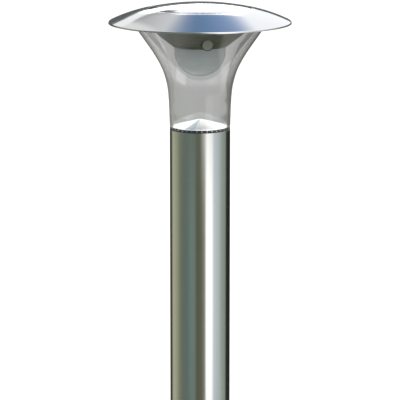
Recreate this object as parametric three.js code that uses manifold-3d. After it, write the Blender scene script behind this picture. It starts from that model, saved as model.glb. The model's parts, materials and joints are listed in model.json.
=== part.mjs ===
// Solar garden light on a stake: a domed stainless head with a solar panel, a clear trumpet lens,
// a bright cone in the lens foot, a stainless post and a ground spike.
// Millimetres, +Z up. z = 0 is the ground line, the underside of the spike's flange.
import * as THREE from "three";
import { mergeVertices } from "three/addons/utils/BufferGeometryUtils.js";
import Module from "manifold-3d";

const wasm = await Module();
wasm.setup();

// ---------------------------------------------------------------- driving dimensions
const GAP = 0.3; // clearance left between touching pieces
const ROUND = 40; // sides of the large round pieces
const SMALL_ROUND = 20; // sides of the small round pieces

const POST_RADIUS = 25;
const POST_WALL = 0.8;
const POST_FOOT = 8; // lower end of the tube
const POST_TOP = 430; // upper end of the tube
const SPIKE_LENGTH = 170; // below the ground line
const SPIKE_FLANGE_RADIUS = 33;

const RIM = POST_TOP + 88.2; // plane of the dome's rim: the head is drawn from here
const DOME_RADIUS = 75.4;
const DOME_SEAT_SLOPE = 9.7; // degrees, where the dome meets the panel's step
const DOME_EDGE_SLOPE = 28.7; // degrees, at the rim
const DOME_SHEET = 0.8;
const STEP_RADIUS = 42.6; // where the dome steps down to hold the panel
const STEP_HIGH = 12; // upper edge of the step, above the rim plane
const SEAT_HIGH = 9; // flat seat inside the step

const COVER_RADIUS = 42.2; // the panel's crowned cover carries on the curve of the dome
const COVER_CURVE = 214; // radius of the crown
const COVER_EDGE = 12.1; // upper edge of the cover
const TRAY_FLANGE_LOW = SEAT_HIGH + GAP;
const TRAY_FLANGE_HIGH = TRAY_FLANGE_LOW + 0.8;
const CELLS_HIGH = 10; // upper face of the silicon

const LENS_WALL = 2.2;
const LENS_FOOT = POST_TOP + 2.4; // lower end of the lens, bonded to the reflector's flange
const LENS_FOOT_RADIUS = 24.95;
const LENS_MOUTH_RADIUS = 57.5;
const SKIRT_RADIUS = 22.3; // reflector's skirt, which plugs into the socket
const CONE_EDGE = LENS_FOOT + 0.4; // foot of the cone
const CONE_HEIGHT = 5.8;

const SOCKET_NOTCHES = 36;
const SOCKET_TOP = POST_TOP + 1.2;

const HOUSING_BOTTOM = -18.5; // below the rim plane
const HOUSING_NECK_RADIUS = 22.8;
const HOUSING_MOUTH_RADIUS = 46.5;
const HOUSING_WALL = 2.3; // measured level
const BOWL_RADIUS = 21;

const CELL_RADIUS = 7.1; // AA rechargeable cell
const CELL_LENGTH = 48.8;
const CELL_AXIS_Z = -1.8;

const SWITCH_Z = -14.1; // centre of the push button
const SWITCH_FACE_Y = -30.2;
const SWITCH_RADIUS = 4.2;

const BOARD_TOP = -12.1; // upper face of the LED board
const BOARD_THICKNESS = 1.4;

const HOUSING_SCREW_CIRCLE = 48.6;
const TRAY_SCREW_CIRCLE = 32.8;

// ---------------------------------------------------------------- materials
const material = (color, roughness, metalness, more = {}) =>
  new THREE.MeshStandardMaterial({ color, roughness, metalness, ...more });

const brushedSteel = material(0xb9bab6, 0.32, 1);
const polishedSteel = material(0xc8ccd2, 0.18, 1);
const satinReflector = material(0xeceef0, 0.25, 0.4);
const zincScrew = material(0xa8aaac, 0.35, 1);
const springSteel = material(0x9a9c9e, 0.3, 1);
const clearAcrylic = material(0xd6d8d6, 0.04, 0, { transparent: true, opacity: 0.35 });
const panelCover = material(0xdfe6ea, 0.05, 0, { transparent: true, opacity: 0.35 });
const frostedBowl = material(0x9aa3a3, 0.45, 0, { transparent: true, opacity: 0.8 });
const blackPlastic = material(0x17181a, 0.55, 0);
const olivePlastic = material(0x3e4130, 0.3, 0);
const greyPlastic = material(0x54565a, 0.5, 0);
const buttonPlastic = material(0x74796a, 0.5, 0);
const blackRubber = material(0x101112, 0.85, 0);
const siliconBlue = material(0x14254f, 0.25, 0);
const boardGreen = material(0x1d5a35, 0.45, 0);
const boardWhite = material(0xdedfdc, 0.5, 0);
const cellGreen = material(0x2f7a48, 0.35, 0);
const ledClear = material(0xf2efdf, 0.1, 0);
const chipBlack = material(0x141414, 0.5, 0);
const coilTeal = material(0x4c8f78, 0.4, 0);
const wireRed = material(0xa01c1c, 0.45, 0);
const wireBlack = material(0x131313, 0.45, 0);

// ---------------------------------------------------------------- geometry helpers
const point = (r, z) => new THREE.Vector2(r, z);

// Turns a closed outline of [radius, height] pairs about +Z. The outline may end on the axis.
function turned(outline, sides = ROUND) {
  const points = outline.map(([r, z]) => point(r, z));
  if (THREE.ShapeUtils.area(points) < 0) points.reverse();
  if (points[0].x > 0 || points[points.length - 1].x > 0) points.push(points[0].clone());
  return new THREE.LatheGeometry(points, sides).rotateX(Math.PI / 2);
}

// Extrudes an outline of [x, y] pairs upwards from z = low to z = high.
function extruded(outline, low, high) {
  const shape = new THREE.Shape(outline.map(([x, y]) => point(x, y)));
  const raised = new THREE.ExtrudeGeometry(shape, { depth: high - low, bevelEnabled: false });
  return raised.translate(0, 0, low);
}

// A solid rod along +Z.
function rod(radius, low, high, sides = SMALL_ROUND) {
  return turned([[0, low], [radius, low], [radius, high], [0, high]], sides);
}

// A box given by its lowest and highest corners.
function block(low, high) {
  const size = high.map((value, axis) => value - low[axis]);
  const middle = high.map((value, axis) => (value + low[axis]) / 2);
  return new THREE.BoxGeometry(...size).translate(...middle);
}

// A round wire or lead of the given radius along a smooth curve through the points.
function wire(points, radius, sides, steps) {
  const corners = Array.from({ length: sides }, (_, i) => {
    const angle = (2 * Math.PI * i) / sides;
    return point(radius * Math.cos(angle), radius * Math.sin(angle));
  });
  const path = new THREE.CatmullRomCurve3(points.map((p) => new THREE.Vector3(...p)));
  return new THREE.ExtrudeGeometry(new THREE.Shape(corners), { steps, extrudePath: path });
}

// Points of a coil spring about +Z, from z = low to z = high.
function coil(radius, low, high, turns, perTurn) {
  return Array.from({ length: turns * perTurn + 1 }, (_, i) => {
    const angle = (2 * Math.PI * i) / perTurn;
    const height = low + ((high - low) * i) / (turns * perTurn);
    return [radius * Math.cos(angle), radius * Math.sin(angle), height];
  });
}

// Points on an arc about (centre r, centre z), from one angle to another, in degrees above +r.
function arc(centreR, centreZ, radius, from, to, steps) {
  return Array.from({ length: steps + 1 }, (_, i) => {
    const angle = THREE.MathUtils.degToRad(from + ((to - from) * i) / steps);
    return [centreR + radius * Math.cos(angle), centreZ + radius * Math.sin(angle)];
  });
}

// n places evenly spaced on a circle, the first at the given angle in degrees.
function onCircle(radius, n, first = 0) {
  return Array.from({ length: n }, (_, i) => {
    const angle = THREE.MathUtils.degToRad(first + (360 * i) / n);
    return [radius * Math.cos(angle), radius * Math.sin(angle)];
  });
}

// ---------------------------------------------------------------- joining and cutting
function solidOf(geometry) {
  const bare = geometry.clone();
  bare.deleteAttribute("normal");
  bare.deleteAttribute("uv");
  const merged = mergeVertices(bare, 1e-4);
  const mesh = new wasm.Mesh({
    numProp: 3,
    vertProperties: merged.attributes.position.array,
    triVerts: new Uint32Array(merged.index.array),
  });
  return new wasm.Manifold(mesh);
}

function geometryOf(solid) {
  const { vertProperties, triVerts } = solid.getMesh();
  const geometry = new THREE.BufferGeometry();
  geometry.setAttribute("position", new THREE.BufferAttribute(vertProperties, 3));
  geometry.setIndex(new THREE.BufferAttribute(triVerts, 1));
  return geometry;
}

const joined = (...pieces) =>
  geometryOf(pieces.map(solidOf).reduce((whole, piece) => whole.add(piece)));

const cut = (body, ...tools) =>
  geometryOf(tools.map(solidOf).reduce((whole, tool) => whole.subtract(tool), solidOf(body)));

function addPart(group, name, geometry, look) {
  const mesh = new THREE.Mesh(geometry, look);
  mesh.name = name;
  group.add(mesh);
  return mesh;
}

// ---------------------------------------------------------------- post and ground spike
function groundSpike() {
  const blade = [
    [-22, 0.5], [22, 0.5], [19, -22], [4, -SPIKE_LENGTH + 12], [0, -SPIKE_LENGTH],
    [-4, -SPIKE_LENGTH + 12], [-19, -22],
  ];
  const bladeHalfThickness = 2;
  const alongX = extruded(blade, -bladeHalfThickness, bladeHalfThickness).rotateX(Math.PI / 2);
  const alongY = alongX.clone().rotateZ(Math.PI / 2);
  const flange = turned([
    [0, 0], [SPIKE_FLANGE_RADIUS, 0], [SPIKE_FLANGE_RADIUS, 1.6],
    [SPIKE_FLANGE_RADIUS - 1.4, 3], [0, 3],
  ]);
  const spigot = turned([[0, 1], [14, 1], [14, 38], [12.5, 40], [0, 40]], ROUND);
  return joined(flange, spigot, alongX, alongY);
}

function footPlug() {
  const flangeRadius = 27;
  const sleeveRadius = POST_RADIUS - POST_WALL - GAP;
  const socketRadius = 14 + GAP;
  return turned([
    [socketRadius, 3 + GAP], [flangeRadius - 1, 3 + GAP], [flangeRadius, 4.3],
    [flangeRadius, 6.6], [flangeRadius - 1.1, POST_FOOT - GAP], [sleeveRadius, POST_FOOT - GAP],
    [sleeveRadius, 44], [sleeveRadius - 1.5, 46], [0, 46], [0, 42], [socketRadius, 42],
  ]);
}

function postTube() {
  const bore = POST_RADIUS - POST_WALL;
  return turned([
    [bore, POST_FOOT], [POST_RADIUS, POST_FOOT], [POST_RADIUS, POST_TOP], [bore, POST_TOP],
  ]);
}

// Plastic ring pressed into the top of the tube. Its thin flange has notches all round.
function lensSocket() {
  const sleeveRadius = POST_RADIUS - POST_WALL - GAP;
  const bore = SKIRT_RADIUS + GAP;
  const flangeRadius = POST_RADIUS - 0.1;
  const flangeLow = POST_TOP + GAP;
  const ring = turned([
    [bore, POST_TOP - 28], [sleeveRadius - 0.5, POST_TOP - 28], [sleeveRadius, POST_TOP - 27],
    [sleeveRadius, flangeLow], [flangeRadius, flangeLow], [flangeRadius, SOCKET_TOP],
    [bore, SOCKET_TOP],
  ]);
  const notchDepth = 0.5;
  const notchWidth = 1.7;
  const notches = onCircle(flangeRadius, SOCKET_NOTCHES).map(([x, y]) =>
    block([-0.7, -notchWidth / 2, SOCKET_TOP - notchDepth], [0.7, notchWidth / 2, SOCKET_TOP + 1])
      .rotateZ(Math.atan2(y, x))
      .translate(x, y, 0),
  );
  return cut(ring, ...notches);
}

// Outer outline of the trumpet from the foot up to the mouth: straight, then flaring out.
const trumpet = new THREE.SplineCurve([
  point(LENS_FOOT_RADIUS, LENS_FOOT), point(25.3, RIM - 77.2), point(25.8, RIM - 64.2),
  point(27.25, RIM - 51.2), point(31.1, RIM - 38.2), point(38.1, RIM - 25.2),
  point(47, RIM - 12.2), point(54.3, RIM - 1.8),
]);

function trumpetLens() {
  const steps = 11;
  const outer = [];
  const inner = [];
  for (let i = 0; i <= steps; i++) {
    const place = trumpet.getPointAt(i / steps);
    const along = trumpet.getTangentAt(i / steps);
    outer.push([place.x, place.y]);
    inner.push([place.x - LENS_WALL * along.y, place.y + LENS_WALL * along.x]);
  }
  const mouthHigh = RIM + 0.3;
  const lipLow = RIM - 1.4;
  const insideMouth = inner.slice(1).filter(([, z]) => z < mouthHigh - 1.5);
  return turned([
    [LENS_FOOT_RADIUS - LENS_WALL, LENS_FOOT], ...outer,
    [LENS_MOUTH_RADIUS, lipLow], [LENS_MOUTH_RADIUS, mouthHigh], [52, mouthHigh],
    ...insideMouth.reverse(),
  ]);
}

// Reflector: a shallow cone that throws the light sideways, a low collar inside the lens, a thin
// flange under the lens and a skirt that plugs into the socket.
function reflectorCone() {
  const collarRadius = LENS_FOOT_RADIUS - LENS_WALL - 0.35;
  const flangeRadius = LENS_FOOT_RADIUS - 0.15;
  const flangeHigh = LENS_FOOT - GAP;
  const flangeLow = SOCKET_TOP + GAP;
  const skirtEnd = POST_TOP - 26;
  const wall = 1.4;
  return turned([
    [0, CONE_EDGE + CONE_HEIGHT], [collarRadius, CONE_EDGE], [collarRadius, flangeHigh],
    [flangeRadius, flangeHigh], [flangeRadius, flangeLow], [SKIRT_RADIUS, flangeLow],
    [SKIRT_RADIUS, skirtEnd], [SKIRT_RADIUS - wall, skirtEnd],
    [SKIRT_RADIUS - wall, CONE_EDGE - 1], [0, CONE_EDGE + CONE_HEIGHT - wall],
  ]);
}

// ---------------------------------------------------------------- head, drawn from its rim plane
// Spun dome: shallow arc down to a plain rim, and a step in the middle that holds the panel.
function capDome() {
  const sine = (degrees) => Math.sin(THREE.MathUtils.degToRad(degrees));
  const halfSheet = DOME_SHEET / 2;
  const arcStart = STEP_RADIUS + 0.6;
  const arcEnd = DOME_RADIUS - halfSheet * (1 - sine(DOME_EDGE_SLOPE));
  const arcRadius = (arcEnd - arcStart) / (sine(DOME_EDGE_SLOPE) - sine(DOME_SEAT_SLOPE));
  const centreR = arcStart - arcRadius * sine(DOME_SEAT_SLOPE);
  const centreZ = STEP_HIGH - arcRadius * sine(90 - DOME_SEAT_SLOPE);
  const shell = (radius) =>
    arc(centreR, centreZ, radius, 90 - DOME_SEAT_SLOPE, 90 - DOME_EDGE_SLOPE, 6);
  const [rimR, rimZ] = shell(arcRadius - halfSheet).pop();
  const seatLow = SEAT_HIGH - DOME_SHEET;
  const holeRadius = 36.3;
  return turned([
    [holeRadius, SEAT_HIGH], [STEP_RADIUS, SEAT_HIGH], [STEP_RADIUS, STEP_HIGH - 0.4],
    ...shell(arcRadius).slice(0, -1),
    ...arc(rimR, rimZ, halfSheet, 90 - DOME_EDGE_SLOPE, -90 - DOME_EDGE_SLOPE, 4),
    ...shell(arcRadius - DOME_SHEET).slice(0, -1).reverse(),
    [STEP_RADIUS + 0.8, STEP_HIGH - 1], [STEP_RADIUS + 0.8, seatLow], [holeRadius, seatLow],
  ]);
}

// Height of a shallow sphere of the cover's curve at a distance r from its crown.
const crownAt = (crown, r) => crown - COVER_CURVE + Math.sqrt(COVER_CURVE ** 2 - r ** 2);

// Clear crowned cover of the panel: its edge stands on the tray, with a groove over the seal.
function solarCover() {
  const crown = COVER_EDGE - crownAt(0, COVER_RADIUS);
  const thickness = 2;
  const grooveOuter = 40.6;
  const grooveInner = 35.2;
  const grooveHigh = 11.2;
  const shares = [0, 0.2, 0.4, 0.6, 0.8, 1];
  const above = shares.map((share) => [share * COVER_RADIUS, crownAt(crown, share * COVER_RADIUS)]);
  const below = shares.map((share) =>
    [share * grooveInner, crownAt(crown - thickness, share * grooveInner)],
  );
  return turned([
    ...above, [COVER_RADIUS, TRAY_FLANGE_HIGH + GAP], [grooveOuter, TRAY_FLANGE_HIGH + GAP],
    [grooveOuter, grooveHigh], [grooveInner, grooveHigh], ...below.reverse(),
  ]);
}

// Black tray that carries the solar cells and clamps the dome to the base plate.
function panelTray() {
  const dishRadius = 35.6;
  const dishBore = 34.5;
  const floorLow = CELLS_HIGH - 3.8;
  const floorHigh = floorLow + 1.5;
  const dish = turned([
    [0, floorLow], [dishRadius, floorLow], [dishRadius, TRAY_FLANGE_LOW],
    [COVER_RADIUS, TRAY_FLANGE_LOW], [COVER_RADIUS, TRAY_FLANGE_HIGH],
    [dishBore, TRAY_FLANGE_HIGH], [dishBore, floorHigh], [0, floorHigh],
  ]);
  const bosses = onCircle(TRAY_SCREW_CIRCLE, 3, 90).map(([x, y]) =>
    rod(2.5, 3.6 + GAP, floorLow + 0.5, 12).translate(x, y, 0),
  );
  const bores = onCircle(TRAY_SCREW_CIRCLE, 3, 90).map(([x, y]) =>
    rod(1.2, 0, floorLow + 0.8, 12).translate(x, y, 0),
  );
  const leadHole = rod(3.2, floorLow - 1, floorHigh + 1, 12).translate(0, 16, 0);
  return cut(joined(dish, ...bosses), ...bores, leadHole);
}

const panelSeal = () =>
  turned([
    [37, TRAY_FLANGE_HIGH + GAP], [40, TRAY_FLANGE_HIGH + GAP], [40, TRAY_FLANGE_HIGH + 0.8],
    [37, TRAY_FLANGE_HIGH + 0.8],
  ]);

const solarBoard = () => rod(34.1, CELLS_HIGH - 2, CELLS_HIGH - 0.7, ROUND);

// One strip of silicon, its ends following the round board.
function cellStrip(index, count) {
  const boardRadius = 32.5;
  const pitch = (2 * 29.2) / count;
  const left = -29.2 + pitch * index + 0.4;
  const right = left + pitch - 0.8;
  const across = [0, 0.25, 0.5, 0.75, 1].map((share) => left + (right - left) * share);
  const reach = (x) => Math.sqrt(boardRadius ** 2 - x ** 2);
  const outline = [
    ...across.map((x) => [x, -reach(x)]),
    ...across.slice().reverse().map((x) => [x, reach(x)]),
  ];
  return extruded(outline, CELLS_HIGH - 0.4, CELLS_HIGH);
}

// Moulded plate that closes the underside of the dome and covers the lens mouth.
function basePlate() {
  const plate = turned([
    [28, 2.1], [58.2, 2.1], [58.2, -1.2], [60, -1.2], [60, 1.6], [69.6, 0.9], [69.6, 2.2],
    [61, 3.6], [28, 3.6],
  ]);
  const bosses = onCircle(HOUSING_SCREW_CIRCLE, 4, 45).map(([x, y]) =>
    rod(3, 3.2, 8, 12).translate(x, y, 0),
  );
  const bores = [
    ...onCircle(HOUSING_SCREW_CIRCLE, 4, 45),
    ...onCircle(TRAY_SCREW_CIRCLE, 3, 90),
  ].map(([x, y]) => rod(1.55, 0, 9, 12).translate(x, y, 0));
  return cut(joined(plate, ...bosses), ...bores);
}

// Funnel under the plate that holds the battery, the board and the switch.
const housingRadiusAt = (z) =>
  HOUSING_NECK_RADIUS +
  ((z - HOUSING_BOTTOM) * (HOUSING_MOUTH_RADIUS - HOUSING_NECK_RADIUS)) / (0.3 - HOUSING_BOTTOM);

function lightHousing() {
  const flangeLow = 0.3;
  const flangeHigh = 1.8;
  const lipHigh = HOUSING_BOTTOM + 1.8;
  const funnel = turned([
    [21.1, HOUSING_BOTTOM], [HOUSING_NECK_RADIUS, HOUSING_BOTTOM],
    [HOUSING_MOUTH_RADIUS, flangeLow], [51.2, flangeLow], [51.2, flangeHigh],
    [HOUSING_MOUTH_RADIUS - HOUSING_WALL + 1, flangeHigh],
    [housingRadiusAt(lipHigh) - HOUSING_WALL, lipHigh], [21.1, lipHigh],
  ]);
  const screwHoles = onCircle(HOUSING_SCREW_CIRCLE, 4, 45).map(([x, y]) =>
    rod(1.55, -1, 3, 12).translate(x, y, 0),
  );
  const switchHole = rod(5 + GAP, -34, -18, SMALL_ROUND)
    .rotateX(-Math.PI / 2)
    .translate(0, 0, SWITCH_Z);
  return cut(funnel, ...screwHoles, switchHole);
}

// Pan-head screw pointing up, head under z = 0, cross recess in the head.
function screw(headRadius, headHeight, shankRadius, shankLength) {
  const body = turned([
    [0, -headHeight], [headRadius * 0.6, -headHeight], [headRadius, -headHeight * 0.45],
    [headRadius, 0], [shankRadius, 0], [shankRadius, shankLength - 0.8], [0, shankLength],
  ], 12);
  const recess = (turn) =>
    block([-headRadius * 0.6, -0.3, -headHeight - 1], [headRadius * 0.6, 0.3, -headHeight * 0.5])
      .rotateZ(turn);
  return cut(body, recess(0), recess(Math.PI / 2));
}

// Frosted bowl: a thin hemisphere below a short straight band, with a snap neck.
function diffuserBowl() {
  const wall = 1.4;
  const bandLow = -22.5;
  const shoulder = HOUSING_BOTTOM - GAP;
  return turned([
    ...arc(0, bandLow, BOWL_RADIUS, -90, 0, 7),
    [BOWL_RADIUS, shoulder], [20.8, shoulder], [20.8, -16.3], [21.3, -15.9], [20.8, -13.8],
    [19.6, -13.8], [19.6, bandLow],
    ...arc(0, bandLow, BOWL_RADIUS - wall, -13, -90, 6),
  ], 32);
}

const ledBoard = () =>
  rod(20.4, BOARD_TOP - BOARD_THICKNESS, BOARD_TOP, 36);

const ledSpacer = () => rod(3.2, -27, BOARD_TOP - BOARD_THICKNESS - GAP, 16);

function ledLamp() {
  const radius = 2.5;
  const tip = -35.6;
  return turned([
    ...arc(0, tip + radius, radius, -90, 0, 4),
    [radius, -28.6], [2.9, -28.6], [2.9, -27 - GAP], [0, -27 - GAP],
  ], 16);
}

// Open trough on four feet that holds the cell across the funnel.
function batteryCradle() {
  const trough = block([-28.9, -8.4, -10.3], [28.9, 8.4, -1]);
  const seat = rod(CELL_RADIUS + GAP, -27.6, 27.6, 32)
    .rotateY(Math.PI / 2)
    .translate(0, 0, CELL_AXIS_Z);
  const feet = [-14, 14].flatMap((x) =>
    [-6, 6].map((y) => block([x - 1.2, y - 1.2, BOARD_TOP + GAP], [x + 1.2, y + 1.2, -10])),
  );
  return cut(joined(trough, ...feet), seat);
}

// The cell lies along +X with its raised contact at +X.
function batteryCell() {
  const back = -23.2;
  const front = back + CELL_LENGTH;
  return turned([
    [0, back], [CELL_RADIUS - 0.5, back], [CELL_RADIUS, back + 0.5],
    [CELL_RADIUS, front - 0.5], [CELL_RADIUS - 0.5, front], [2.7, front], [2.7, front + 1.3],
    [0, front + 1.3],
  ], 32)
    .rotateY(Math.PI / 2)
    .translate(0, 0, CELL_AXIS_Z);
}

const batterySpring = () =>
  wire(coil(3.2, -26.9, -23.9, 3, 12), 0.35, 5, 42)
    .rotateY(Math.PI / 2)
    .translate(0, 0, CELL_AXIS_Z);

const batteryContact = () => block([27, -4, CELL_AXIS_Z - 4], [27.3, 4, CELL_AXIS_Z + 4]);

// ---------------------------------------------------------------- switch, on the front of the funnel
// Drawn along +Z and laid along -Y, so that its face looks out to the front.
const facingFront = (geometry) => geometry.rotateX(Math.PI / 2).translate(0, 0, SWITCH_Z);

const switchBezel = () =>
  facingFront(turned([
    [4.4, 22.1], [5, 22.1], [5, 28.9], [4.8, 29.3], [4.6, 29.3], [4.4, 28.9],
  ], SMALL_ROUND));

const switchBody = () => facingFront(rod(4, 22.4, 25, SMALL_ROUND));

const switchSpring = () => facingFront(wire(coil(2.3, 25.5, 28.4, 3, 10), 0.25, 5, 36));

// Cup-shaped button with upright grip ribs on its face.
function switchButton() {
  const face = -SWITCH_FACE_Y - 0.5;
  const cup = turned([
    [0, face], [SWITCH_RADIUS - 0.4, face], [SWITCH_RADIUS, face - 0.4], [SWITCH_RADIUS, 26.6],
    [3, 26.6], [3, 28.9], [0, 28.9],
  ], SMALL_ROUND);
  const ribs = [-2.4, -1.2, 0, 1.2, 2.4].map((x) => {
    const reach = Math.sqrt((SWITCH_RADIUS - 0.7) ** 2 - x ** 2);
    return block([x - 0.3, -reach, face - 0.3], [x + 0.3, reach, face + 0.5]);
  });
  return facingFront(joined(cup, ...ribs));
}

// ---------------------------------------------------------------- assembly
const light = new THREE.Group();

const post = new THREE.Group();
light.add(post);
addPart(post, "ground_spike", groundSpike(), blackPlastic);
addPart(post, "foot_plug", footPlug(), blackPlastic);
addPart(post, "post_tube", postTube(), brushedSteel);
addPart(post, "lens_socket", lensSocket(), blackPlastic);
addPart(post, "trumpet_lens", trumpetLens(), clearAcrylic);
addPart(post, "reflector_cone", reflectorCone(), satinReflector);

const head = new THREE.Group();
head.position.z = RIM;
light.add(head);

addPart(head, "lens_seal",
  turned([[52.6, 0.6], [57.2, 0.6], [57.2, 1.8], [52.6, 1.8]]),
  blackRubber);

addPart(head, "cap_dome", capDome(), polishedSteel);
addPart(head, "panel_tray", panelTray(), blackPlastic);
addPart(head, "panel_seal", panelSeal(), blackRubber);
addPart(head, "solar_cover", solarCover(), panelCover);
addPart(head, "solar_board", solarBoard(), boardWhite);
const STRIPS = 4;
for (let i = 0; i < STRIPS; i++) {
  addPart(head, `solar_strip_${i + 1}`, cellStrip(i, STRIPS), siliconBlue);
}

addPart(head, "base_plate", basePlate(), greyPlastic);
addPart(head, "light_housing", lightHousing(), olivePlastic);
onCircle(HOUSING_SCREW_CIRCLE, 4, 45).forEach(([x, y], i) => {
  addPart(head, `housing_screw_${i + 1}`, screw(2.4, 1.5, 1.2, 7), zincScrew)
    .position.set(x, y, 0);
});
onCircle(TRAY_SCREW_CIRCLE, 3, 90).forEach(([x, y], i) => {
  addPart(head, `tray_screw_${i + 1}`, screw(2.2, 1.4, 0.85, 5), zincScrew)
    .position.set(x, y, 1.8);
});
addPart(head, "diffuser_bowl", diffuserBowl(), frostedBowl);

addPart(head, "battery_cradle", batteryCradle(), blackPlastic);
addPart(head, "battery_cell", batteryCell(), cellGreen);
addPart(head, "battery_spring", batterySpring(), springSteel);
addPart(head, "battery_contact", batteryContact(), springSteel);

addPart(head, "led_board", ledBoard(), boardGreen);
addPart(head, "led_spacer", ledSpacer(), boardWhite);
addPart(head, "led_lamp", ledLamp(), ledClear);
const PARTS_LOW = BOARD_TOP + GAP;
addPart(head, "driver_chip", block([-3, -15.5, PARTS_LOW], [3, -11.5, PARTS_LOW + 1.8]), chipBlack);
addPart(head, "power_coil",
  rod(2, -5, 5, 16).rotateY(Math.PI / 2).translate(-9.5, 12.5, PARTS_LOW + 2), coilTeal);
addPart(head, "storage_capacitor",
  rod(2.6, PARTS_LOW, PARTS_LOW + 7, 20).translate(9, 13, 0), chipBlack);

const BOARD_LEAD_Z = PARTS_LOW + 0.1;
addPart(head, "panel_lead_red", wire([
  [-1.2, 16, 7.7], [-1.2, 16.2, 4.6], [-2.4, 15.8, -2], [-1.6, 15.4, -8], [-1.2, 15.4, BOARD_LEAD_Z],
], 0.55, 6, 14), wireRed);
addPart(head, "panel_lead_black", wire([
  [1.2, 16, 7.7], [1.2, 16.2, 4.6], [2.4, 15.8, -2], [1.6, 15.4, -8], [1.2, 15.4, BOARD_LEAD_Z],
], 0.55, 6, 14), wireBlack);
addPart(head, "battery_lead_red", wire([
  [25, -10, -4], [21, -12, -3.4], [15, -13.5, -5.6], [11, -12.6, -9.4], [10.4, -12.2, BOARD_LEAD_Z],
], 0.55, 6, 14), wireRed);
addPart(head, "battery_lead_black", wire([
  [-25, -10, -4], [-21, -12, -3.4], [-15, -13.5, -5.6], [-11, -12.6, -9.4],
  [-10.4, -12.2, BOARD_LEAD_Z],
], 0.55, 6, 14), wireBlack);

addPart(head, "switch_bezel", switchBezel(), blackPlastic);
addPart(head, "switch_body", switchBody(), chipBlack);
addPart(head, "switch_spring", switchSpring(), springSteel);
addPart(head, "switch_button", switchButton(), buttonPlastic);

export default light;
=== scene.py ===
# Looks of the solar garden light: fine turned surfaces around the CAD frame, procedural materials,
# a pale studio and the camera. Lengths in the outlines are millimetres; meshes are in metres.
import json
import math

import bmesh
import bpy
from mathutils import Matrix, Vector


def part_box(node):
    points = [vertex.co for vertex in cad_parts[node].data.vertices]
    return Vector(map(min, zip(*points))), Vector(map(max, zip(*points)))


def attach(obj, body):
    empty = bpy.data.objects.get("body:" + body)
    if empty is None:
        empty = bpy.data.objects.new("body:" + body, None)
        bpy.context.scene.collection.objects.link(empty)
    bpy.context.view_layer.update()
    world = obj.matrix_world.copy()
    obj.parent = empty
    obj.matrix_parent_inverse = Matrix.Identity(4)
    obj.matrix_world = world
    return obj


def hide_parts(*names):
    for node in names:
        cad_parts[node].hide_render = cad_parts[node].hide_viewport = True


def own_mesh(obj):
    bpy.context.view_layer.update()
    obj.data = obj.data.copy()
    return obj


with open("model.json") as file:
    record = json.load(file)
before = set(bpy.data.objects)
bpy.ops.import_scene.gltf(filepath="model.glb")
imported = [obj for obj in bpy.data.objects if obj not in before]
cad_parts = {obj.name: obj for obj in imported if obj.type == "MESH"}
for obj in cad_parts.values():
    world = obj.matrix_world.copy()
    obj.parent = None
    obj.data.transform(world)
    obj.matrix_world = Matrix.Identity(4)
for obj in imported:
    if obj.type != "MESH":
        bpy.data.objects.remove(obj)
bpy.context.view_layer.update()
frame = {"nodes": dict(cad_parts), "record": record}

MM = 0.001
FINEST = 288  # sides of the dome and its cover
FINER = 256  # sides of the tube and the lens
FINE = 192  # sides of the other large round pieces
MEDIUM = 128  # sides of the switch
CELL_SIDES = 96  # sides of the battery and its seat
SMALL = 64  # sides of the small round pieces
WIRE_SIDES = 16
SHARP_ANGLE = 32  # degrees between two faces, above which their edge stays sharp
GAP = 0.3  # between pieces that would touch or be glued


# ---------------- places taken from the frame
def lowest(node, axis=2):
    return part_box(node)[0][axis] / MM


def highest(node, axis=2):
    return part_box(node)[1][axis] / MM


POST_RADIUS = highest("post_tube", 0)
POST_FOOT = lowest("post_tube")
POST_TOP = highest("post_tube")
POST_WALL = 0.8
RIM = highest("trumpet_lens") - GAP
DOME_RADIUS = highest("cap_dome", 0)
DOME_SLOPES = (11, 25.8)  # degrees, at the panel's step and at the rim
DOME_SHEET = 0.8
STEP_RADIUS = 42.6
STEP_IN = 42.35  # inner face of the step, close round the cover
STEP_HIGH = highest("cap_dome") - RIM
SEAT_HIGH = 9.0
COVER_RADIUS = highest("solar_cover", 0)
COVER_CURVE = 214.0
COVER_CROWN = highest("solar_cover") - RIM
TRAY_FLANGE_LOW = SEAT_HIGH + GAP
TRAY_FLANGE_HIGH = TRAY_FLANGE_LOW + 0.8
CELLS_HIGH = highest("solar_strip_1") - RIM
CELLS_REACH = 32.5  # radius of the circle that the ends of the cells follow
LENS_FOOT = lowest("trumpet_lens")
LENS_FOOT_RADIUS = 24.95
LENS_WALL = 2.2
LENS_MOUTH_RADIUS = highest("trumpet_lens", 0)
SKIRT_RADIUS = 22.3
CONE_EDGE = LENS_FOOT + 0.4
CONE_TOP = highest("reflector_cone")
FLANGE_SHADE_RADIUS = 23.5  # beyond this radius the reflector's flange is painted near-black, as shade in the gap under the lens's foot
SOCKET_TOP = highest("lens_socket")
HOUSING_BOTTOM = lowest("light_housing") - RIM
HOUSING_LOW, HOUSING_HIGH = 0.3, 1.8  # the flange at its mouth
HOUSING_NECK_RADIUS = 22.8
HOUSING_MOUTH_RADIUS = 46.5
HOUSING_WALL = 2.3
SWITCH_Z = (lowest("switch_button") + highest("switch_button")) / 2 - RIM
SWITCH_FACE_Y = lowest("switch_button", 1)
SWITCH_RADIUS = highest("switch_button", 0)
BOWL_RADIUS = highest("diffuser_bowl", 0)
BOWL_BAND = lowest("diffuser_bowl") - RIM + BOWL_RADIUS
BOARD_TOP = highest("led_board") - RIM
CELL_AXIS_Z = (lowest("battery_cell") + highest("battery_cell")) / 2 - RIM
SPIKE_TIP = lowest("ground_spike")


# ---------------- outlines
def arc(centre_r, centre_z, radius, start, end, steps):
    """Points on an arc, from one angle to another in degrees above +r."""
    found = []
    for i in range(steps + 1):
        angle = math.radians(start + (end - start) * i / steps)
        found.append((centre_r + radius * math.cos(angle), centre_z + radius * math.sin(angle)))
    return found


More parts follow.
